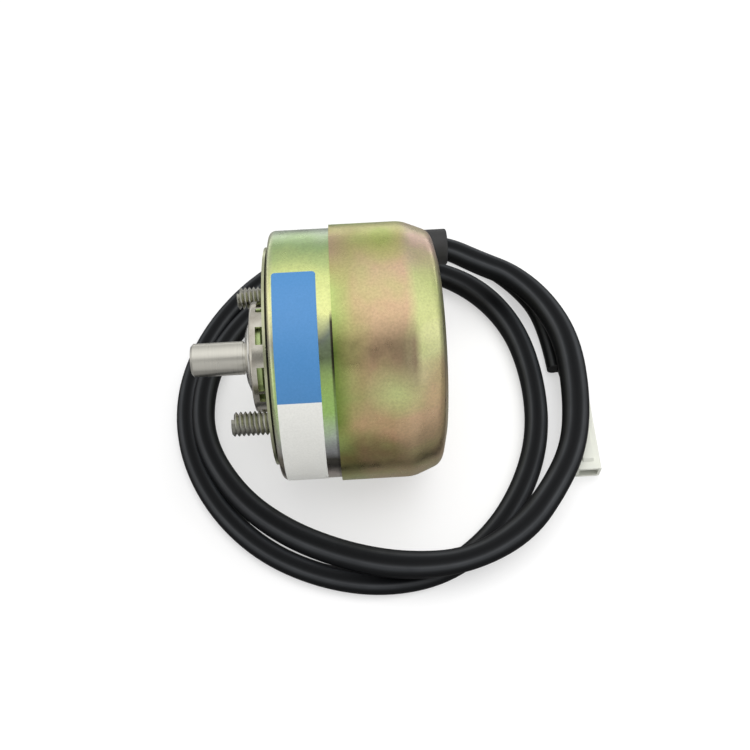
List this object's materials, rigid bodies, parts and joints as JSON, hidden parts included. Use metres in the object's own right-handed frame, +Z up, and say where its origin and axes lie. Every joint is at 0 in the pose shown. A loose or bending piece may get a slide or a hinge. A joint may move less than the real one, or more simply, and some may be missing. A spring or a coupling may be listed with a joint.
{
  "type": "rotary solenoid",
  "caption": "Stud-mounted rotary solenoid with a short round output shaft, ball-race armature, drawn dust cover and sleeved leads ending in a small connector.",
  "frame": {"origin": "centre of the mounting plate's front face, on the shaft's axis", "axes": "+X along the shaft's axis from the plate towards the dust cover, the shaft's free end pointing to -X; +Z up as it lies on the table; +Y away from the viewer, the lead boot's side"},
  "size_m": [0.0808, 0.0799, 0.0454],
  "materials": {
    "yellow_zinc": "yellow passivated zinc plate, satin, iridescent",
    "ground_steel": "ground, satin",
    "stud_steel": "plain rolled thread",
    "bright_zinc": "bright zinc plate",
    "core_iron": "machined soft iron",
    "ball_steel": "polished",
    "spring_steel": "blued strip",
    "sintered_bronze": "oiled sintered bronze",
    "copper_wire": "enamelled copper",
    "bobbin_nylon": "moulded nylon",
    "coil_tape": "polyester tape",
    "label_foil": "blank two-colour foil label, blue and off-white",
    "black_rubber": "moulded, semi-matte",
    "black_vinyl": "semi-matte sleeve",
    "ivory_plastic": "moulded nylon",
    "lead_insulation": "vinyl insulated wire",
    "tinned_brass": "tinned"
  },
  "bodies": {
    "housing": {"front_plate": "yellow_zinc", "case": "yellow_zinc", "base_plate": "core_iron", "stator_pole": "core_iron", "front_bush": "sintered_bronze", "rear_bush": "sintered_bronze", "coil_bobbin": "bobbin_nylon", "coil_winding": "copper_wire", "coil_tape": "coil_tape", "mounting_stud_1": "stud_steel", "mounting_stud_2": "stud_steel", "dust_cover": "yellow_zinc", "spring_housing": "bright_zinc", "thrust_washer": "sintered_bronze", "return_spring": "spring_steel", "name_label": "label_foil", "lead_grommet": "black_rubber", "lead_boot": "black_rubber", "cable_sleeve": "black_vinyl", "lead_wire_1": "lead_insulation", "lead_wire_2": "lead_insulation", "plug_housing": "ivory_plastic", "plug_pins": "tinned_brass"},
    "stroke_ring": {"retaining_ring": "spring_steel"},
    "armature": {"shaft": "ground_steel", "armature_core": "core_iron", "armature_plate": "core_iron", "armature_collar": "core_iron", "spring_hub": "bright_zinc"},
    "race_ball_1": {"ball_1": "ball_steel"},
    "race_ball_2": {"ball_2": "ball_steel"},
    "race_ball_3": {"ball_3": "ball_steel"}
  },
  "joints": [
    {"name": "armature_stroke", "type": "slide", "parent": "housing", "child": "stroke_ring", "axis": [-1, 0, 0], "range_m": [0, 0.0012]},
    {"name": "shaft_turn", "type": "hinge", "parent": "stroke_ring", "child": "armature", "pos_m": [0, 0, 0], "axis": [1, 0, 0], "range_deg": [0, 45], "stiffness_Nm_per_rad": 0.03, "springref_deg": -28.65, "deforming": ["return_spring"]},
    {"name": "ball_1_roll", "type": "hinge", "parent": "housing", "child": "race_ball_1", "pos_m": [0.01985, 0, 0], "axis": [0.9944, -0.0793, -0.0695], "range_deg": [0, 22.5]},
    {"name": "ball_2_roll", "type": "hinge", "parent": "housing", "child": "race_ball_2", "pos_m": [0.01985, 0, 0], "axis": [0.9944, 0.0999, -0.0339], "range_deg": [0, 22.5]},
    {"name": "ball_3_roll", "type": "hinge", "parent": "housing", "child": "race_ball_3", "pos_m": [0.01985, 0, 0], "axis": [0.9944, -0.0206, 0.1034], "range_deg": [0, 22.5]}
  ],
  "couplings": [
    {"joint": "armature_stroke", "follows": "shaft_turn", "m_per_rad": 0.0015279},
    {"joint": "ball_1_roll", "follows": "shaft_turn", "ratio": 0.5},
    {"joint": "ball_2_roll", "follows": "shaft_turn", "ratio": 0.5},
    {"joint": "ball_3_roll", "follows": "shaft_turn", "ratio": 0.5}
  ]
}
